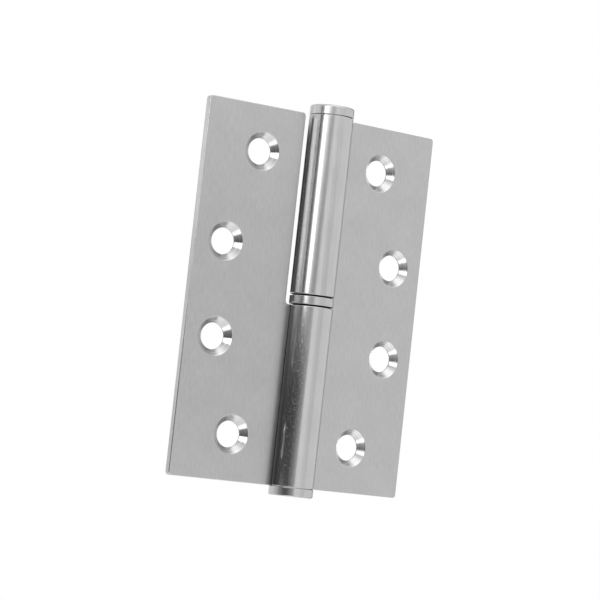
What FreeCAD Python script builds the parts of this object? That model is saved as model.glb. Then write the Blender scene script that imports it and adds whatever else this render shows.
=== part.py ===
import FreeCAD, Part

import math
import os

from FreeCAD import Vector

# A lift-off hinge of rolled stainless sheet, in millimetres, at rest a little past flat.
# The pin axis is Z, with the origin halfway up the barrel. The countersunk faces look to -Y.
# The frame leaf lies to -X and the door leaf to +X.

# leaf blank
leaf_height = 100.0
leaf_width = 37.5          # pin axis to the leaf's outer edge
sheet = 2.0
corner_radius = 1.0
edge_break = 0.2           # tumbled edges all round

# rolled knuckle
barrel_radius = 6.0
face_offset = 1.0          # countersunk face behind the pin axis
bend_radius = 1.5          # inside of the reverse bend
roll_gap = 0.2             # seam between the rolled end and the leaf
notch_gap = 1.45           # barrel to the edge of the other leaf

# screw holes
hole_radius = 3.5
sink_radius = 5.2
sink_half_angle = 45.0
outer_column = 28.0        # pin axis to the middle pair of holes
inner_column = 19.8        # pin axis to the end pair of holes
middle_spacing = 25.2
end_spacing = 75.4

# bearing washer
washer_height = 3.0
washer_land = 4.8          # outer radius of the raised rubbing face
washer_relief = 0.3        # rim set back from the knuckle
washer_chamfer = 0.2

# pin
running_clearance = 0.05   # radial, between journal and bore
pin_end_room = 2.0         # pin tip to the top plug
tip_chamfer = 1.2

# caps
cap_height = 2.4
cap_rim = 0.6
cap_stand = 0.25           # upper cap held off the end of its knuckle
plug_length = 4.0
plug_chamfer = 0.4

# door leaf turned past flat
rest_turn = 5.4

# sizes that follow from the driving ones
bore_radius = barrel_radius - sheet
journal_radius = bore_radius - running_clearance
half_height = leaf_height / 2
knuckle_end = -washer_height / 2
notch_edge = barrel_radius + notch_gap
face_back = face_offset + sheet
bend_y = face_back + bend_radius
bend_x = -math.sqrt((bend_radius + barrel_radius) ** 2 - bend_y ** 2)
bend_turn = math.atan2(-bend_y, -bend_x)
roll_start = bend_turn + math.pi
roll_end = -math.pi - math.asin((face_offset - roll_gap) / barrel_radius)

Z_AXIS = Vector(0, 0, 1)


def polar(centre, radius, angle):
    return centre + Vector(radius * math.cos(angle), radius * math.sin(angle), 0)


def arc(centre, radius, start, end):
    """Arc about a centre, from one angle to another, either way round."""
    middle = (start + end) / 2
    points = [polar(centre, radius, angle) for angle in (start, middle, end)]
    return Part.Arc(*points).toShape()


def line(start, end):
    return Part.LineSegment(start, end).toShape()


def rolled_profile(level):
    """Section of the sheet: flat leaf, reverse bend, then the roll round the pin."""
    pin = Vector(0, 0, level)
    bend = Vector(bend_x, bend_y, level)
    down = -math.pi / 2
    front = Vector(bend_x, face_offset, level)
    back = Vector(bend_x, face_back, level)
    outer_front = Vector(-leaf_width, face_offset, level)
    outer_back = Vector(-leaf_width, face_back, level)
    edges = [
        line(outer_front, front),
        arc(bend, bend_radius + sheet, down, bend_turn),
        arc(pin, bore_radius, roll_start, roll_end),
        line(polar(pin, bore_radius, roll_end), polar(pin, barrel_radius, roll_end)),
        arc(pin, barrel_radius, roll_end, roll_start),
        arc(bend, bend_radius, bend_turn, down),
        line(back, outer_back),
        line(outer_back, outer_front),
    ]
    return Part.Face(Part.Wire(Part.__sortEdges__(edges)))


def face_normal(face, point):
    u, v = face.Surface.parameter(point)
    return face.normalAt(u, v)


def sharp_edges(solid):
    """Edges where two faces meet at an angle, the ones that tumbling wears off."""
    smooth_limit = math.radians(20)
    found = []
    for edge in solid.Edges:
        faces = solid.ancestorsOfType(edge, Part.Face)
        if len(faces) != 2:
            continue
        point = edge.valueAt((edge.FirstParameter + edge.LastParameter) / 2)
        turn = face_normal(faces[0], point).getAngle(face_normal(faces[1], point))
        if turn > smooth_limit:
            found.append(edge)
    return found


def corner_edges(solid):
    """Edges through the sheet at the corners of the outline, the notch included."""
    found = []
    for edge in solid.Edges:
        start, end = edge.Vertexes[0].Point, edge.Vertexes[-1].Point
        across = abs(abs(end.y - start.y) - sheet) < 1e-6
        outside = start.x < -notch_edge + 1e-6
        if across and outside and abs(end.x - start.x) < 1e-6:
            found.append(edge)
    return found


def notch_tool():
    """Space that the other leaf's knuckle turns in."""
    depth = 4 * barrel_radius
    corner = Vector(-notch_edge, -depth / 2, knuckle_end)
    return Part.makeBox(notch_edge + depth, depth, leaf_height, corner)


def screw_hole(column, level):
    """Countersunk hole, driven from the front face."""
    front = Vector(-column, face_offset, level)
    inward = Vector(0, 1, 0)
    sink_depth = (sink_radius - hole_radius) / math.tan(math.radians(sink_half_angle))
    cone = Part.makeCone(sink_radius, hole_radius, sink_depth, front, inward)
    bore = Part.makeCylinder(hole_radius, sheet + 2, front - inward, inward)
    return cone.fuse(bore)


def hole_places():
    for column, spacing in ((outer_column, middle_spacing), (inner_column, end_spacing)):
        for side in (-1, 1):
            yield column, side * spacing / 2


def leaf():
    """One stamping: its knuckle fills the lower half, and the upper half is notched."""
    blank = rolled_profile(-half_height).extrude(Vector(0, 0, leaf_height))
    solid = blank.cut(notch_tool())
    solid = solid.makeFillet(corner_radius, corner_edges(solid))
    solid = solid.makeChamfer(edge_break, sharp_edges(solid))
    for column, level in hole_places():
        solid = solid.cut(screw_hole(column, level))
    return solid


def frame_leaf():
    return leaf()


def door_leaf():
    """The same stamping turned half a turn, so that its knuckle is the upper one."""
    solid = leaf()
    solid.rotate(Vector(), Vector(0, 1, 0), 180)
    solid.rotate(Vector(), Z_AXIS, rest_turn)
    return solid


def turned(outline):
    """Solid of revolution about the pin axis, from radius and height pairs."""
    points = [Vector(radius, 0, height) for radius, height in outline]
    section = Part.Face(Part.makePolygon(points + points[:1]))
    return section.revolve(Vector(), Z_AXIS, 360)


def rim_edges(solid, radius, height):
    """Round edges of one radius at one height."""
    found = []
    for edge in solid.Edges:
        curve = edge.Curve
        if not isinstance(curve, Part.Circle):
            continue
        if abs(curve.Radius - radius) < 1e-6 and abs(curve.Center.z - height) < 1e-6:
            found.append(edge)
    return found


def hinge_pin():
    """Press shank in the lower knuckle, journal above it and a chamfered tip."""
    bottom = -half_height + plug_length
    top = half_height - plug_length - pin_end_room
    return turned([
        (0, bottom),
        (bore_radius - plug_chamfer, bottom),
        (bore_radius, bottom + plug_chamfer),
        (bore_radius, knuckle_end),
        (journal_radius, knuckle_end),
        (journal_radius, top - tip_chamfer),
        (journal_radius - tip_chamfer, top),
        (0, top),
    ])


def bearing_washer():
    """Thick ring with a raised land on each side, so that only the lands rub."""
    half = washer_height / 2
    rim = half - washer_relief
    upper = [
        (bore_radius, half - washer_chamfer),
        (bore_radius + washer_chamfer, half),
        (washer_land, half),
        (washer_land, rim),
        (barrel_radius - edge_break, rim),
        (barrel_radius, rim - edge_break),
    ]
    lower = [(radius, -height) for radius, height in reversed(upper)]
    return turned(upper + lower)


def cap(stand):
    """Round cap with a worn rim, and a plug driven into the bore until it stands this high."""
    seat = half_height + stand
    top = seat + cap_height
    solid = turned([
        (0, seat - plug_length),
        (bore_radius - plug_chamfer, seat - plug_length),
        (bore_radius, seat - plug_length + plug_chamfer),
        (bore_radius, seat),
        (barrel_radius - edge_break, seat),
        (barrel_radius, seat + edge_break),
        (barrel_radius, top),
        (0, top),
    ])
    return solid.makeFillet(cap_rim, rim_edges(solid, barrel_radius, top))


def top_cap():
    return cap(cap_stand)


def bottom_cap():
    """The same cap, turned over and driven home."""
    solid = cap(0)
    solid.rotate(Vector(), Vector(1, 0, 0), 180)
    return solid


pieces = {
    "frame_leaf": frame_leaf(),
    "door_leaf": door_leaf(),
    "hinge_pin": hinge_pin(),
    "bearing_washer": bearing_washer(),
    "top_cap": top_cap(),
    "bottom_cap": bottom_cap(),
}

os.makedirs("parts", exist_ok=True)
for name, solid in pieces.items():
    print(name, solid.ShapeType, len(solid.Solids), solid.isValid(), round(solid.Volume, 2))
    solid.exportStep(os.path.join("parts", name + ".step"))
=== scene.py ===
import math

import bpy
import numpy as np
from mathutils import Euler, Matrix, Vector
from mathutils.geometry import delaunay_2d_cdt


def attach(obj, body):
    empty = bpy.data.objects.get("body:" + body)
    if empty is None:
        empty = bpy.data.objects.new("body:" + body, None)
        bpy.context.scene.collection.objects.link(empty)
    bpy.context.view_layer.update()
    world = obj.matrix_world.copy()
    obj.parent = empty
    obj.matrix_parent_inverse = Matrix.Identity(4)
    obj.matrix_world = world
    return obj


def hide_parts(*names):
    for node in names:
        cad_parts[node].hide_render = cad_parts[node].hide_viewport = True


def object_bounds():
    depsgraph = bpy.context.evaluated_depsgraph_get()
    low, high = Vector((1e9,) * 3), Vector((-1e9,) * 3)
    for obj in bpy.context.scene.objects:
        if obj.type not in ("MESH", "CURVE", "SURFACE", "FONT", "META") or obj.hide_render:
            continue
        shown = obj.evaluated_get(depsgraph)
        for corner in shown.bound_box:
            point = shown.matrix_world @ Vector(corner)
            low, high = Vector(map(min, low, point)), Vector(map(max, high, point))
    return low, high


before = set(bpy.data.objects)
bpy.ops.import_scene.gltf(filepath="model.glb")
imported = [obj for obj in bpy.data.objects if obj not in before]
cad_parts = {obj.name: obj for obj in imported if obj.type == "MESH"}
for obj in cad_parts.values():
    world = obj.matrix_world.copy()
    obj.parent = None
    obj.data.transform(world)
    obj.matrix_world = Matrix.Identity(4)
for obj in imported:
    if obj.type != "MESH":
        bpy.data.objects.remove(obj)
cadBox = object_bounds()
scene = bpy.context.scene
mm = 0.001


# small helpers

def srgb(hexText):  # one colour written as sRGB hex, turned to linear
    parts = [int(hexText[i:i + 2], 16) / 255 for i in (1, 3, 5)]
    return [c / 12.92 if c <= 0.04045 else ((c + 0.055) / 1.055) ** 2.4 for c in parts] + [1.0]


def addNode(tree, kind, settings=None, **links):
    # One node, its plain settings, and its inputs as values or as (node, output) pairs. i0 and i1
    # name an input by its number.
    node = tree.nodes.new(kind)
    for name, value in (settings or {}).items():
        setattr(node, name, value)
    for name, value in links.items():
        socket = node.inputs[int(name[1:]) if name[1:].isdigit() else name.replace("_", " ")]
        if isinstance(value, tuple) and isinstance(value[0], bpy.types.Node):
            tree.links.new(value[0].outputs[value[1]], socket)
        else:
            socket.default_value = value
    return node


def newMaterial(name):
    material = bpy.data.materials.new(name)
    material.use_nodes = True
    material.node_tree.nodes.clear()
    return material, material.node_tree


def placeObject(name, data):
    placed = bpy.data.objects.new(name, data)
    scene.collection.objects.link(placed)
    return placed


arcPoints, arcStep = 5, 11  # the fewest points on a rounded corner, and the degrees between them


def unit(way):
    return way / np.linalg.norm(way)


def roundedPath(corners, radii, steps, closed=True):
    # Corners joined by straight runs and rounded by arcs that touch both runs. A run is cut into
    # pieces of about the first step where it goes more sideways than up, and else of the second.
    # Gives the points, the outward normal at each (the run's direction turned right) and the length
    # along the path.
    corners = np.array(corners, float)
    count = len(corners)
    arcs = []  # points, normals and reach of each corner's arc, which is one point at an open end
    for i, here in enumerate(corners):
        if closed or 0 < i < count - 1:
            before, after = unit(here - corners[i - 1]), unit(corners[(i + 1) % count] - here)
            turn = math.atan2(before[0] * after[1] - before[1] * after[0], before @ after)
            side = 1 if turn > 0 else -1
            reach = radii[i] * math.tan(abs(turn) / 2)
            spoke = np.array([before[1], -before[0]]) * side
            centre = here - before * reach - spoke * radii[i]
            sweep = np.linspace(0, turn, max(arcPoints, int(abs(turn) / math.radians(arcStep)) + 1))
            arm = np.stack([spoke[0] * np.cos(sweep) - spoke[1] * np.sin(sweep),
                            spoke[0] * np.sin(sweep) + spoke[1] * np.cos(sweep)], -1)
            arcs.append((centre + arm * radii[i], arm * side, reach))
        else:
            along = unit(corners[1] - here if i == 0 else here - corners[-2])
            arcs.append((here[None], np.array([[along[1], -along[0]]]), 0.0))
    points, normals = [], []
    for i in range(count):
        points.append(arcs[i][0])
        normals.append(arcs[i][1])
        if closed or i < count - 1:
            j = (i + 1) % count
            left, run = points[-1][-1], unit(corners[j] - corners[i])
            free = float((corners[j] - left) @ run) - arcs[j][2]
            pieces = max(1, round(free / steps[0 if abs(run[0]) > abs(run[1]) else 1]))
            inner = np.linspace(0, free, pieces + 1)[1:-1]
            points.append(left + inner[:, None] * run)
            normals.append(np.repeat([[run[1], -run[0]]], len(inner), 0))
    points, normals = np.concatenate(points), np.concatenate(normals)
    ends = np.roll(points, -1, 0) if closed else points[1:]
    lengths = np.concatenate([[0], np.cumsum(np.linalg.norm(ends - points[:len(ends)], axis=1))])
    return points, normals, lengths


def ringFaces(rings, across, along):
    # Four-sided faces between closed rings of indices, and the map of their corners: across has a
    # value for each ring, along one for each point and one more where the ring closes.
    a, b = rings[:-1], rings[1:]
    faces = np.stack([a, np.roll(a, -1, 1), np.roll(b, -1, 1), b], -1).reshape(-1, 4)
    grid = np.stack(np.meshgrid(across, along, indexing="ij"), -1)
    corners = np.stack([grid[:-1, :-1], grid[:-1, 1:], grid[1:, 1:], grid[1:, :-1]], 2)
    return faces, corners.reshape(-1, 4, 2)


def turnAbout(points, axis, degrees):
    # turns rows of vectors about Y or Z
    c, s = math.cos(math.radians(degrees)), math.sin(math.radians(degrees))
    turns = {"Y": [[c, 0, s], [0, 1, 0], [-s, 0, c]], "Z": [[c, -s, 0], [s, c, 0], [0, 0, 1]]}
    return points @ np.array(turns[axis]).T


def makePiece(name, points, normals, uvs, faces, slots, body, replaced, finishes, slotName):
    # One mesh from whole arrays: faces are rows of four indices, the last one -1 for a triangle,
    # uvs has a pair for each of them, in millimetres, and slots one of the finishes for each face.
    used = faces >= 0
    mesh = bpy.data.meshes.new(name)
    mesh.vertices.add(len(points))
    mesh.vertices.foreach_set("co", (points * mm).astype(np.float32).ravel())
    mesh.loops.add(np.count_nonzero(used))
    mesh.loops.foreach_set("vertex_index", faces[used].astype(np.int32))
    mesh.polygons.add(len(faces))
    mesh.polygons.foreach_set("loop_start", (np.cumsum(used.sum(1)) - used.sum(1)).astype(np.int32))
    mesh.update(calc_edges=True)
    mesh.uv_layers.new(name="grainMap").data.foreach_set("uv", uvs[used].astype(np.float32).ravel())
    for finish in finishes:
        mesh.materials.append(steel[finish])
    mesh.polygons.foreach_set("material_index", slots.astype(np.int32))
    mesh.polygons.foreach_set("use_smooth", np.ones(len(faces), bool))
    mesh.normals_split_custom_set_from_vertices(normals.tolist())
    mesh.update()
    piece = placeObject(name, mesh)
    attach(piece, body)
    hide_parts(replaced)
    print(name, len(points), "points", len(faces), "faces")


# camera, from a fit to the outline and the screw holes: no lens shift, and a roll of six degrees
cameraSetup = {
    "placeMm": (-393.225, -608.177, -43.569),
    "turnDegrees": (93.46963, -6.24001, -33.01589),
    "lens": 162.57981,
    "sensor": 36.0,
    "clip": (0.02, 50.0),
}


def placeCamera():
    data = bpy.data.cameras.new("photoCamera")
    data.lens = cameraSetup["lens"]
    data.sensor_width = cameraSetup["sensor"]
    data.sensor_fit = "HORIZONTAL"
    data.clip_start, data.clip_end = cameraSetup["clip"]
    camera = placeObject("photoCamera", data)
    camera.location = [v * mm for v in cameraSetup["placeMm"]]
    camera.rotation_euler = Euler([math.radians(v) for v in cameraSetup["turnDegrees"]], "XYZ")
    scene.camera = camera


placeCamera()
print("camera placed")


# studio: a white cove inside a dome that only the metal sees. The dome has tone 1, and the patches
# are laid over it one after another. Each gives from and to which bearing round the pin, from and
# to which height above the horizon, how wide its sides and its ends fade out, all in degrees, and
# its tone at the two lower and the two upper corners.
studio = {
    "floorDropMm": 62.0,
    "floorMm": 6000.0,
    "domeMm": 1400.0,
    "bearings": (-128, 232, 241),  # from, to and how many
    "heights": ((-90, -5, 1.5), (-5, 12, 0.1), (12, 90.1, 1.5)),  # from, to and by what step
    "patches": {
        "overhead": (-45, 60, 46, 120, 50, 24, 1.95, 1.85, 1.95, 1.85),
        "tableEdge": (-72, -12, -53, -31, 16, 5, 2.3, 2.3, 2.3, 2.3),
        "table": (-55, 84, -120, -56, 30, 10, 1.2, 1.75, 1.2, 1.75),
        "sideFlag": (94, 122, -46, 56, 14, 24, 0.24, 0.28, 0.24, 0.28),
        "glowRise": (121, 132, -30, 34, 1, 16, 0.28, 1.85, 0.28, 1.85),
        "rearGlow": (132, 150, -30, 34, 1, 16, 1.85, 1.85, 1.85, 1.85),
        "rearFlag": (150, 210, 2.6, 9.1, 1, 0.6, 0.02, 0.07, 0.02, 0.07),
        "rearEdge": (211, 228, -2.2, 9, 1, 1, 0.75, 0.75, 2.5, 2.5),
        "rimFill": (84, 108.5, -9, 14, 3, 6, 1.0, 1.0, 1.0, 1.0),
        "frontGlow": (-19, 8, -34, 30, 10, 8, 1.12, 1.08, 1.12, 1.08),
        "softFill": (8, 38, -3.5, 8, 12, 8, 1.02, 0.74, 0.82, 0.86),
        "lowSide": (-128, -102, -1.8, 2.6, 1, 0.1, 0.06, 0.06, 0.06, 0.06),
        "lowFlag": (-103, -50, -34, 1.3, 1, 0.4, 0.28, 0.34, 0.05, 0.10),
        "lowWing": (-50, -18, -34, 1.3, 1, 0.4, 0.46, 1.05, 0.10, 0.54),
        "lowFlagEdge": (-100, -50, 1.3, 3.1, 1, 0.2, 0.06, 0.13, 0.24, 0.44),
        "lowWingEdge": (-50, -18, 1.3, 3.1, 1, 0.2, 0.13, 0.50, 0.66, 0.76),
        "capSide": (-128, -103, -10, -1.8, 1, 0.1, 0.80, 0.76, 0.80, 0.76),
        "capShade": (-103, -72, -10, -2.62, 1, 0.1, 0.76, 0.18, 0.76, 0.18),
        "tallFlag": (-92, -53, 3.1, 26, 1, 0.1, 0.05, 0.18, 0.05, 0.18),
        "tallShoulder": (-53, -32, 3.1, 12, 2, 0.1, 0.85, 0.36, 1.75, 0.78),
        "tallWing": (-32, -17, 3.1, 24, 2, 0.1, 0.36, 0.80, 0.78, 0.66),
        "stripShade": (-82, -70, 3.3, 31, 1, 0.1, 0.05, 0.6, 0.15, 0.8),
        "stripLight": (-70.5, -53.8, 3.39, 31, 1, 0.1, 4.2, 3.2, 4.2, 3.2),
        "highStrip": (-73, -36, 10.6, 29, 1, 2, 3.2, 2.8, 3.2, 2.8),
        "stripFitting": (-75, -34, 29.8, 31.2, 1, 0.4, 0.3, 0.3, 0.3, 0.3),
    },
}


def fade(value, start, end, width):
    # rises from 0 to 1 across the start and falls back across the end, as a smooth step each time
    rise = np.clip((value - start) / width + 0.5, 0, 1)
    fall = np.clip((end - value) / width + 0.5, 0, 1)
    return rise * rise * (3 - 2 * rise) * fall * fall * (3 - 2 * fall)


def buildDome():
    # a sphere of bearing and height: x = sin a cos h, y = -cos a cos h, z = sin h, times its radius
    heights = np.concatenate([np.arange(*part) for part in studio["heights"]])
    side, height = np.meshgrid(np.linspace(*studio["bearings"]), heights)
    tone = np.ones(side.shape)
    for start, end, foot, head, across, upward, *corners in studio["patches"].values():
        u = np.clip((side - start) / (end - start), 0, 1)
        v = np.clip((height - foot) / (head - foot), 0, 1)
        low, high = (left + (right - left) * u for left, right in (corners[:2], corners[2:]))
        weight = fade(side, start, end, across) * fade(height, foot, head, upward)
        tone += weight * (low * (1 - v) + high * v - tone)
    a, h = np.radians(side), np.radians(height)
    points = studio["domeMm"] * np.stack([np.sin(a) * np.cos(h), -np.cos(a) * np.cos(h), np.sin(h)], -1)
    index = np.arange(tone.size).reshape(tone.shape)
    faces = np.stack([index[:-1, :-1], index[:-1, 1:], index[1:, 1:], index[1:, :-1]], -1).reshape(-1, 4)
    mesh = bpy.data.meshes.new("dome")
    mesh.from_pydata((points.reshape(-1, 3) * mm).tolist(), [], faces.tolist())
    mesh.attributes.new("tone", "FLOAT", "POINT").data.foreach_set("value", tone.astype(np.float32).ravel())
    material, tree = newMaterial("domePaper")
    painted = addNode(tree, "ShaderNodeAttribute", {"attribute_name": "tone"})
    glow = addNode(tree, "ShaderNodeEmission", Color=(1, 1, 1, 1), Strength=(painted, "Fac"))
    addNode(tree, "ShaderNodeOutputMaterial", Surface=(glow, 0))
    material.cycles.emission_sampling = "NONE"
    mesh.materials.append(material)
    dome = placeObject("dome", mesh)
    dome.visible_camera = False
    dome.visible_shadow = False
    dome.visible_diffuse = False


def buildStudio():
    world = bpy.data.worlds.new("whiteCove")
    world.use_nodes = True
    world.node_tree.nodes.clear()
    back = addNode(world.node_tree, "ShaderNodeBackground", Color=(1, 1, 1, 1), Strength=1.0)
    addNode(world.node_tree, "ShaderNodeOutputWorld", Surface=(back, 0))
    scene.world = world
    size = studio["floorMm"] * mm
    low = cadBox[0][2] - studio["floorDropMm"] * mm
    mesh = bpy.data.meshes.new("floor")
    mesh.from_pydata([(-size, -size, low), (size, -size, low), (size, size, low), (-size, size, low)],
                     [], [(0, 1, 2, 3)])
    material, tree = newMaterial("paleFloor")
    paper = addNode(tree, "ShaderNodeBsdfDiffuse", Color=(1, 1, 1, 1))
    addNode(tree, "ShaderNodeOutputMaterial", Surface=(paper, 0))
    mesh.materials.append(material)
    floor = placeObject("floor", mesh)
    floor.visible_glossy = False
    buildDome()


buildStudio()
print("studio built")


# materials: each reads the piece's own grainMap, in millimetres. Reflections spread by roughness
# along the map's first way, or along its second where turned is a quarter, and spread says how
# much less they do so along the other. The grain is given as its size along the two ways and its
# depth, and shade and cloud say how far the tone wanders with it and from place to place. Real
# grinding lines lie a few hundredths of a millimetre apart, too fine for this render, so the
# grain is drawn as coarse as it needs to show. Flecks begin and are full where the grain's noise
# passes two values, and the third is their own roughness. The painted seam shade begins and is full
# at two lengths along the map's first way, and the third value is what it leaves of the tone.
steels = {
    # Belt ground flat stainless: bright, dull across the grain, with faint streaks along the pin.
    "beltGroundStainless": {
        "colour": "#b9b9b9", "roughness": 0.21, "spread": 0.85, "turned": 0.0,
        "grain": (0.45, 2.4), "depth": 0.0005, "shade": 0.035, "cloud": 0.02},
    # The same sheet rolled round a mandrel: smoother, so that the lights stand on it as streaks.
    "rolledStainless": {
        "colour": "#bebebe", "roughness": 0.13, "spread": 0.95, "turned": 0.0,
        "grain": (0.4, 8.0), "depth": 0.0006, "shade": 0.04, "cloud": 0.02},
    # The lower knuckle's outside, scuffed by the mandrel: dull flecks that show where it mirrors
    # the dark. Where the sheet comes round to its seam, its tone is darkened as painted shade.
    "scuffedStainless": {
        "colour": "#bebebe", "roughness": 0.11, "spread": 0.93, "turned": 0.0,
        "grain": (0.42, 0.55), "depth": 0.0002, "shade": 0.02, "cloud": 0.02,
        "flecks": (0.57, 0.66, 0.25), "paintedSeamShade": (60.3, 61.5, 0.45)},
    # Countersunk or turned stainless: rings round the axis, bright and dark by turns.
    "turnedStainless": {
        "colour": "#c0c0c0", "roughness": 0.12, "spread": 0.9, "turned": 0.0,
        "grain": (0.34, 9.0), "depth": 0.008, "shade": 0.18, "cloud": 0.0,
        "flecks": (0.4, 0.6, 0.24)},
    # Turned parts ground with the barrel, so that their grain runs along the pin like the sheet's.
    "groundRoundStainless": {
        "colour": "#bebebe", "roughness": 0.15, "spread": 0.95, "turned": 0.25,
        "grain": (5.0, 0.4), "depth": 0.0006, "shade": 0.05, "cloud": 0.0},
    # The notch's cut edge and the bores' sheared walls: torn, dull, and painted darker as their shade.
    "shearedStainless": {
        "colour": "#5a5a5a", "roughness": 0.42, "spread": 0.0, "turned": 0.0,
        "grain": (0.5, 3.0), "depth": 0.004, "shade": 0.08, "cloud": 0.0},
    # Steel in the seams: under old oil, and painted nearly black as the seams' shade.
    "oiledStainless": {
        "colour": "#0c0c0c", "roughness": 0.5, "spread": 0.0, "turned": 0.0,
        "grain": (0.3, 3.0), "depth": 0.0, "shade": 0.05, "cloud": 0.0},
}
cloudsPerMm = 0.12
noiseSpan = (0.3, 0.7)  # where nearly all of the noise lies


def steelMaterial(name):
    look = steels[name]
    material, tree = newMaterial(name)
    place = addNode(tree, "ShaderNodeUVMap", {"uv_map": "grainMap"})
    width, length = look["grain"]
    fine = addNode(tree, "ShaderNodeMapping", Vector=(place, 0), Scale=(1 / width, 1 / length, 1.0))
    grain = addNode(tree, "ShaderNodeTexNoise", {"noise_dimensions": "2D"}, Vector=(fine, 0), Scale=1.0,
                    Detail=3.0, Roughness=0.6)
    cloud = addNode(tree, "ShaderNodeTexNoise", {"noise_dimensions": "2D"}, Vector=(place, 0),
                    Scale=cloudsPerMm, Detail=2.0)
    tones = [addNode(tree, "ShaderNodeMapRange", Value=(noise, 0), From_Min=noiseSpan[0],
                     From_Max=noiseSpan[1], To_Min=1 - amount, To_Max=1 + amount)
             for noise, amount in ((grain, look["shade"]), (cloud, look["cloud"]))]
    # painted seam shade: the tone is darkened between two lengths along the map's first way
    if "paintedSeamShade" in look:
        start, full, left = look["paintedSeamShade"]
        split = addNode(tree, "ShaderNodeSeparateXYZ", Vector=(place, 0))
        tones.append(addNode(tree, "ShaderNodeMapRange", {"interpolation_type": "SMOOTHSTEP"},
                             Value=(split, 0), From_Min=start, From_Max=full, To_Min=1.0, To_Max=left))
    tone = tones[0]
    for other in tones[1:]:
        tone = addNode(tree, "ShaderNodeMath", {"operation": "MULTIPLY"}, i0=(tone, 0), i1=(other, 0))
    tint = addNode(tree, "ShaderNodeVectorMath", {"operation": "SCALE"}, i0=srgb(look["colour"])[:3],
                   Scale=(tone, 0))
    bump = addNode(tree, "ShaderNodeBump", Strength=1.0, Distance=look["depth"] * mm, Height=(grain, 0))
    across = addNode(tree, "ShaderNodeTangent", {"direction_type": "UV_MAP", "uv_map": "grainMap"})
    dull = look["roughness"]
    if "flecks" in look:
        start, full, duller = look["flecks"]
        dull = (addNode(tree, "ShaderNodeMapRange", Value=(grain, 0), From_Min=start, From_Max=full,
                        To_Min=dull, To_Max=duller), 0)
    metal = addNode(tree, "ShaderNodeBsdfPrincipled", Base_Color=(tint, 0), Metallic=1.0,
                    Roughness=dull, Anisotropic=look["spread"], Anisotropic_Rotation=look["turned"],
                    Normal=(bump, 0), Tangent=(across, 0))
    addNode(tree, "ShaderNodeOutputMaterial", Surface=(metal, 0))
    return material


steel = {name: steelMaterial(name) for name in steels}
print("materials made")


# leaves: a flat blank with its notch and holes, whose tail is bent back and rolled round the pin
leafShape = {  # millimetres and degrees
    "height": 100.0,
    "width": 37.5,  # pin axis to the outer edge
    "sheet": 2.0,
    "corner": 1.0,
    "tailCorner": 0.4,
    "edgeRound": 0.3,
    "cutDegrees": 36,  # the cut edge's darker finish, with its painted shade, goes this far round its rounding
    "barrel": 6.0,
    "behindPin": 1.0,  # pin axis to the front face
    "bendInside": 1.5,
    "seam": 0.2,
    "notchEdge": 7.45,
    "knuckleEnd": -1.5,
    "holeRadius": 3.5,
    "holeEdge": 0.1,
    "sinkRadius": 5.2,
    "sinkDepth": 1.7,
    "sinkEdge": 0.35,
    "lip": 0.2,
    "shearedHeight": 0.27,  # the hole's sheared wall begins this far from the back face
    "shearedRadius": 3.55,  # and ends at this radius
    "holes": ((28.0, 12.6), (28.0, -12.6), (19.8, 37.7), (19.8, -37.7)),
    "restTurn": 5.4,
    "groundPast": 1.2,  # how far into the bend the belt reaches
}
leafSteps = {  # how finely the leaf is cut up, in millimetres or pieces
    "edge": (0.4, 1.6),  # along the blank and up it
    "grid": (1.5, 2.5),  # the same
    "gridGap": 0.3,  # from the grid to the outlines
    "rollColumns": 90,
    "holeSides": 96,
    "sink": (0.15, 0.15),
    "rimDegrees": (72, 54, 36, 18, 0, 0, -18, -36, -54, -72),  # front round, cut edge, back round
}
# the oiled slot is painted nearly black as seam shade, and the cut slot darker as the cut edges' shade
flatSlot, rollSlot, sinkSlot, oiledSeamShadeSlot, cutAndShadedSlot = range(5)
slack = 0.01  # how near counts as there


def bendPlaces():
    # The bend's centre, how far the bend turns the sheet, and how far along the blank the flat run
    # and the bend end. The blank is measured in the middle of the sheet, which keeps its length.
    shape = leafShape
    bendY = shape["behindPin"] + shape["sheet"] + shape["bendInside"]
    bendX = -math.sqrt((shape["bendInside"] + shape["barrel"]) ** 2 - bendY ** 2)
    turn = math.atan2(-bendY, -bendX) + math.pi / 2
    flatEnd = shape["width"] + bendX
    return bendX, bendY, turn, flatEnd, flatEnd + turn * (shape["bendInside"] + shape["sheet"] / 2)


def blankLength():
    # to the tail, which stops at the seam in front of the leaf
    shape = leafShape
    turn, _, bendEnd = bendPlaces()[2:]
    sweep = turn + math.pi / 2 + math.pi + math.asin((shape["behindPin"] - shape["seam"]) / shape["barrel"])
    return bendEnd + sweep * (shape["barrel"] - shape["sheet"] / 2)


def rollSheet(along, height, depth):
    # Place and directions of a point of the blank. along runs from the outer edge to the tail,
    # depth from the back face to the front one. The flat run is followed by an arc about the bend's
    # centre, behind the sheet, and by an arc about the pin: both keep the sheet's thickness.
    shape = leafShape
    bendX, bendY, turn, flatEnd, bendEnd = bendPlaces()
    middle = shape["sheet"] / 2
    bendAngle = -math.pi / 2 + (along - flatEnd) / (shape["bendInside"] + middle)
    rollAngle = turn + math.pi / 2 - (along - bendEnd) / (shape["barrel"] - middle)
    flat, bent = along < flatEnd, along < bendEnd
    angle = np.where(bent, bendAngle, rollAngle)
    radius = np.where(bent, shape["bendInside"] + depth, shape["barrel"] - depth)
    x = np.where(bent, bendX, 0) + radius * np.cos(angle)
    y = np.where(bent, bendY, 0) + radius * np.sin(angle)
    back = shape["behindPin"] + shape["sheet"]
    x, y = np.where(flat, along - shape["width"], x), np.where(flat, back - depth, y)
    side = np.where(bent, 1.0, -1.0)
    towardFront = np.stack([np.where(flat, 0, side * np.cos(angle)),
                            np.where(flat, -1, side * np.sin(angle)), 0 * x], -1)
    forward = np.stack([-towardFront[..., 1], towardFront[..., 0], 0 * x], -1)
    return np.stack([x, y, height + 0 * x], -1), forward, towardFront


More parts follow.
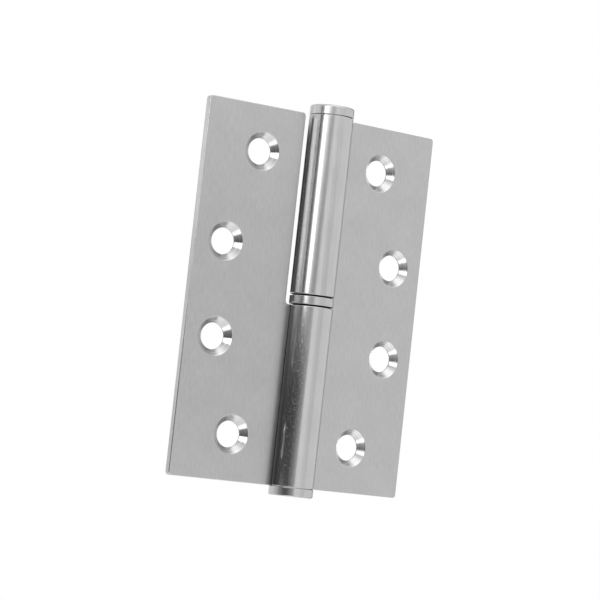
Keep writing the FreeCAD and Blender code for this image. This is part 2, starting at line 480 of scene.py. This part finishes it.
def insideLoop(points, loop):
    # even and odd crossings of a level ray, for all points and all sides of the loop at once
    a, b = loop, np.roll(loop, -1, 0)
    x, y = points[:, 0:1], points[:, 1:2]
    crosses = (a[:, 1] > y) != (b[:, 1] > y)
    with np.errstate(divide="ignore", invalid="ignore"):
        where = (b[:, 0] - a[:, 0]) * (y - a[:, 1]) / (b[:, 1] - a[:, 1]) + a[:, 0]
    return (crosses & (x < where)).sum(1) % 2 == 1


def insideBlank(points, loops):
    # within the outer loop and in none of the holes
    return insideLoop(points, loops[0]) & ~np.any([insideLoop(points, hole) for hole in loops[1:]], 0)


def fillBlank(loops, grid):
    # triangles over the blank: the outer loop, the hole loops and a grid of points between them
    far = [np.min(np.linalg.norm(grid[:, None] - loop[None], axis=2), axis=1) > leafSteps["gridGap"]
           for loop in loops]
    points = np.concatenate(loops + [grid[np.all(far, 0) & insideBlank(grid, loops)]])
    edges, start = [], 0
    for loop in loops:
        index = np.arange(len(loop))
        edges += np.stack([start + index, start + np.roll(index, -1)], -1).tolist()
        start += len(loop)
    found = delaunay_2d_cdt([Vector(p) for p in points.tolist()], edges, [], 0, 1e-6, True)
    first = np.array([ids[0] if ids else -1 for ids in found[3]])
    triangles = first[np.array(found[2])]
    triangles = triangles[insideBlank(points[triangles].mean(1), loops)]
    a, b, c = (points[triangles[:, k]] for k in range(3))
    flip = np.cross(b - a, c - a) < 0
    triangles[flip] = triangles[flip][:, ::-1]
    return points, triangles


def leafMesh():
    # The blank is laid out flat, as points with a depth in the sheet, and rollSheet puts each lot
    # of them into space. Front, back, rim and holes share the points where they meet.
    shape = leafShape
    thick, worn, half = shape["sheet"], shape["edgeRound"], shape["height"] / 2
    flatEnd, tail = bendPlaces()[3], blankLength()
    notch = shape["width"] - shape["notchEdge"]
    corners = [(0, -half), (tail, -half), (tail, shape["knuckleEnd"]), (notch, shape["knuckleEnd"]),
               (notch, half), (0, half)]
    radii = [shape["tailCorner"] if k in (1, 2) else shape["corner"] for k in range(len(corners))]
    outer, out, length = roundedPath(corners, radii, leafSteps["edge"])
    core = outer - worn * out
    spin = np.linspace(0, 2 * math.pi, leafSteps["holeSides"] + 1)[:-1]
    circle = np.stack([np.cos(spin), np.sin(spin)], -1)
    centres = [np.array([shape["width"] - column, level]) for column, level in shape["holes"]]
    stepAlong, stepUp = leafSteps["grid"]
    lastFlat = flatEnd - leafSteps["gridGap"]
    columns = np.concatenate([np.arange(stepAlong / 2, lastFlat, stepAlong), [lastFlat, flatEnd],
                              np.linspace(flatEnd, tail, leafSteps["rollColumns"] + 2)[1:-1]])
    grid = np.stack(np.meshgrid(columns, np.arange(-half + stepUp / 2, half, stepUp)), -1).reshape(-1, 2)

    places, normals, uvs, faces, slots = [], [], [], [], []

    def lay(flatPoints, depth, away, tilt):
        # one lot of points, with normals made of the outward way in the blank and the way through
        # the sheet: gives their indices
        first = sum(len(block) for block in places)
        place, forward, front = rollSheet(flatPoints[:, 0], flatPoints[:, 1], depth)
        upward = np.array([0.0, 0.0, 1.0])
        normal = away[:, 0:1] * forward + away[:, 1:2] * upward + tilt[:, None] * front
        places.append(place)
        normals.append(normal / np.linalg.norm(normal, axis=1)[:, None])
        return np.arange(first, first + len(flatPoints))

    sides = {}
    for front in (True, False):
        reach = (shape["sinkRadius"] if front else shape["holeRadius"]) + shape["lip"]
        flatPoints, triangles = fillBlank([core] + [centre + reach * circle for centre in centres], grid)
        count = len(flatPoints)
        sides[front] = index = lay(flatPoints, np.full(count, thick if front else 0.0),
                                   np.zeros((count, 2)), np.full(count, 1.0 if front else -1.0))
        triangles = triangles if front else triangles[:, ::-1]
        faces.append(np.concatenate([index[triangles], np.full((len(triangles), 1), -1)], 1))
        uvs.append(flatPoints[np.concatenate([triangles, triangles[:, :1]], 1)])
        rolled = flatPoints[triangles].mean(1)[:, 0] > flatEnd + shape["groundPast"]
        slots.append(np.where(rolled, rollSlot, flatSlot))

    # rim of the blank: a quarter round from the front, the cut edge, and a quarter round to the back
    swing = np.radians(leafSteps["rimDegrees"])
    depths = np.repeat([thick - worn, worn], len(swing) // 2) + worn * np.sin(swing)
    count = len(core)
    rings = [lay(core + worn * math.cos(angle) * out, np.full(count, depth), out * math.cos(angle),
                 np.full(count, math.sin(angle))) for angle, depth in zip(swing, depths)]
    rings = np.array([sides[True][:count], *rings, sides[False][:count]])
    rim, rimMap = ringFaces(rings, np.concatenate([[thick], depths, [0]]), length)
    faces.append(rim[:, ::-1])
    uvs.append(rimMap[:, ::-1])
    # the cut edge's middle faces: at the knuckle's end the oiled finish, painted black as seam shade, and
    # at the notch the sheared finish, painted darker as shade
    sunk = np.abs(leafSteps["rimDegrees"]) <= shape["cutDegrees"]
    band = np.concatenate([[False], sunk[1:] & sunk[:-1], [False]])
    atEnd = (np.abs(outer[:, 1] - shape["knuckleEnd"]) < slack) & (outer[:, 0] > flatEnd)
    atNotch = np.abs(outer[:, 0] - notch) < slack
    kinds = np.where(atEnd & np.roll(atEnd, -1), oiledSeamShadeSlot,
                     np.where(atNotch & np.roll(atNotch, -1), cutAndShadedSlot, flatSlot))
    slots.append(np.where(band[:, None], kinds[None], flatSlot).ravel())

    # holes: lip, sink, land and back lip, as rings of radius and depth round each centre
    lip, land, sink = shape["lip"], shape["holeRadius"], shape["sinkRadius"]
    profile = [(sink + lip, thick), (sink, thick), (land, thick - shape["sinkDepth"]), (land, 0),
               (land + lip, 0)]
    rounds = [0, shape["sinkEdge"], shape["holeEdge"], shape["holeEdge"], 0]
    path, way, run = roundedPath(profile, rounds, leafSteps["sink"], closed=False)
    bore = (path[:-1, 1] < shape["shearedHeight"]) & (path[1:, 0] < shape["shearedRadius"])
    for k, centre in enumerate(centres):
        shared = slice(count + k * len(circle), count + (k + 1) * len(circle))
        rings = [lay(centre + radius * circle, np.full(len(circle), depth), circle * outward,
                     np.full(len(circle), through))
                 for (radius, depth), (outward, through) in zip(path[1:-1], way[1:-1])]
        rings = np.array([sides[True][shared], *rings, sides[False][shared]])
        wall, wallMap = ringFaces(rings, run, np.append(spin, 2 * math.pi) * land)
        faces.append(wall)
        uvs.append(wallMap)
        # the bore's sheared wall takes the sheared finish, painted darker as shade inside the hole
        slots.append(np.repeat(np.where(bore, cutAndShadedSlot, sinkSlot), len(circle)))
    return [np.concatenate(block) for block in (places, normals, uvs, faces, slots)]


def buildLeaves():
    # both are one stamping, and the door's is turned half a turn and then past flat
    points, normals, *rest = leafMesh()
    # the oiled and the sheared finishes are painted dark as shade in the seams and on the cut edges
    others = ["turnedStainless", "oiledStainless", "shearedStainless"]
    makePiece("frameLeafSheet", points, normals, *rest, "frame", "frame_leaf",
              ["beltGroundStainless", "scuffedStainless", *others], "leaf_steel")
    points, normals = (turnAbout(turnAbout(part, "Y", 180), "Z", leafShape["restTurn"])
                       for part in (points, normals))
    makePiece("doorLeafSheet", points, normals, *rest, "door", "door_leaf",
              ["beltGroundStainless", "rolledStainless", *others], "leaf_steel")


buildLeaves()
print("leaves rolled")


# turned pieces: the outline of half the piece, from the foot outward, up and back to the axis,
# as radius, height and the rounding of each corner, in millimetres. The caps stand on height 0,
# and the lower one is turned over. The upper one's rim hangs below its seat by the sag, less a
# tilt for each millimetre to the right and to the front.
turnedShapes = {
    "pin": [(0, -46, 0), (4, -46, 0.4), (4, -1.52, 0.02), (3.95, -1.48, 0.02), (3.95, 42.8, 0.5),
            (2.75, 44, 0.3), (0, 44, 0)],
    "washer": [(4, -1.5, 0.15), (4.8, -1.5, 0.04), (4.8, -1.12, 0.04), (6, -1.12, 0.12),
               (6, 1.12, 0.12), (4.8, 1.12, 0.04), (4.8, 1.5, 0.04), (4, 1.5, 0.15)],
    "upperCap": [(0, -4, 0), (4, -4, 0.4), (4, 0, 0.03), (6, 0, 0.06), (6, 2.4, 0.6), (0, 2.4, 0)],
    "lowerCap": [(0, -4, 0), (4, -4, 0.4), (4, 0, 0.03), (6, 0, 0.12), (6, 2.4, 0.35), (0, 2.4, 0)],
}
turnedSetup = {  # millimetres, but for the sides and the level
    "capHeight": 2.4,
    "rimSag": 0.18,
    "rimTilt": (0.0084, -0.0054),
    "rimReach": 0.2,  # how near its seat a point of the cap counts as the rim
    "rimRadius": 5.6,  # inside it all lies in a seam or in the knuckles
    "level": 0.8,  # how far a face may look up or down and still be of the rim
    "sides": 128,
    "mapRadius": 6,
    "step": (0.8, 0.8),
}


def turnedMesh(outline):
    # The outline carried round the pin axis: x = r cos t, y = r sin t, z = height. One that
    # begins on the axis is closed there at both ends, and one that doesn't is a ring.
    ring = outline[0][0] > 0
    path, way, run = roundedPath([row[:2] for row in outline], [row[2] for row in outline],
                                 turnedSetup["step"], closed=ring)
    spin = np.linspace(0, 2 * math.pi, turnedSetup["sides"] + 1)
    sides, heads = (path, way) if ring else (path[1:-1], way[1:-1])
    c, s = np.cos(spin[None, :-1]), np.sin(spin[None, :-1])
    points, normals = (
        np.stack([rows[:, 0:1] * c, rows[:, 0:1] * s, rows[:, 1:2] + 0 * c], -1).reshape(-1, 3)
        for rows in (sides, heads))
    index = np.arange(len(points)).reshape(len(sides), -1)
    rings, across = (np.concatenate([index, index[:1]]), run) if ring else (index, run[1:-1])
    faces, corners = ringFaces(rings, across, spin * turnedSetup["mapRadius"])
    if not ring:
        # a fan of triangles from each pole, with the upper one's points the other way round
        for pole, last, at, edge, order in ((len(points), index[0], run[0], run[1], -1),
                                            (len(points) + 1, index[-1], run[-1], run[-2], 1)):
            pair = np.stack([last, np.roll(last, -1)], -1)[:, ::order]
            turns = np.stack([spin[:-1], spin[1:]], -1)[:, ::order]
            middle = (turns[:, 0] + turns[:, 1]) / 2
            v = np.column_stack([middle, turns, middle]) * turnedSetup["mapRadius"]
            u = np.array([at, edge, edge, at]) + 0 * v
            fan = np.column_stack([np.full(len(pair), pole), pair, np.full(len(pair), -1)])
            faces = np.concatenate([faces, fan])
            corners = np.concatenate([corners, np.stack([u, v], -1)])
        points = np.concatenate([points, [[0, 0, path[0, 1]], [0, 0, path[-1, 1]]]])
        normals = np.concatenate([normals, [[0, 0, -1], [0, 0, 1]]])
    # slot 0 is the rim, and slot 1 the ends, the bore and all that lies in a seam
    reach = np.linalg.norm(points[faces[:, :3]].mean(1)[:, :2], axis=1)
    facing = np.abs(normals[faces[:, :3]].mean(1)[:, 2])
    rim = (reach > turnedSetup["rimRadius"]) & (facing < turnedSetup["level"])
    return points, normals, corners, faces, np.where(rim, 0, 1)


def buildTurned():
    # the caps end where the CAD box ends
    pin, washer, upper, lower = (turnedMesh(outline) for outline in turnedShapes.values())
    finishes = ["groundRoundStainless", "turnedStainless"]
    makePiece("turnedPin", *pin[:4], 0 * pin[4], "frame", "hinge_pin", finishes[:1], "pin_steel")
    # the washer's ends and bore lie in the seams: old oil, and painted nearly black as their shade
    makePiece("turnedWasher", *washer, "washer", "bearing_washer",
              ["groundRoundStainless", "oiledStainless"], "washer_steel")
    points = upper[0] + [0, 0, cadBox[1][2] / mm - turnedSetup["capHeight"]]
    rim = np.abs(upper[0][:, 2]) < turnedSetup["rimReach"]
    points[rim, 2] -= turnedSetup["rimSag"] - upper[0][rim, :2] @ turnedSetup["rimTilt"]
    makePiece("upperCap", points, *upper[1:], "door", "top_cap", finishes, "cap_steel")
    points, normals = (turnAbout(part, "Y", 180) for part in lower[:2])
    points = points + [0, 0, cadBox[0][2] / mm + turnedSetup["capHeight"]]
    makePiece("lowerCap", points, normals, *lower[2:], "frame", "bottom_cap", finishes, "cap_steel")


buildTurned()
print("turned pieces built")

scene.view_settings.view_transform = "Standard"
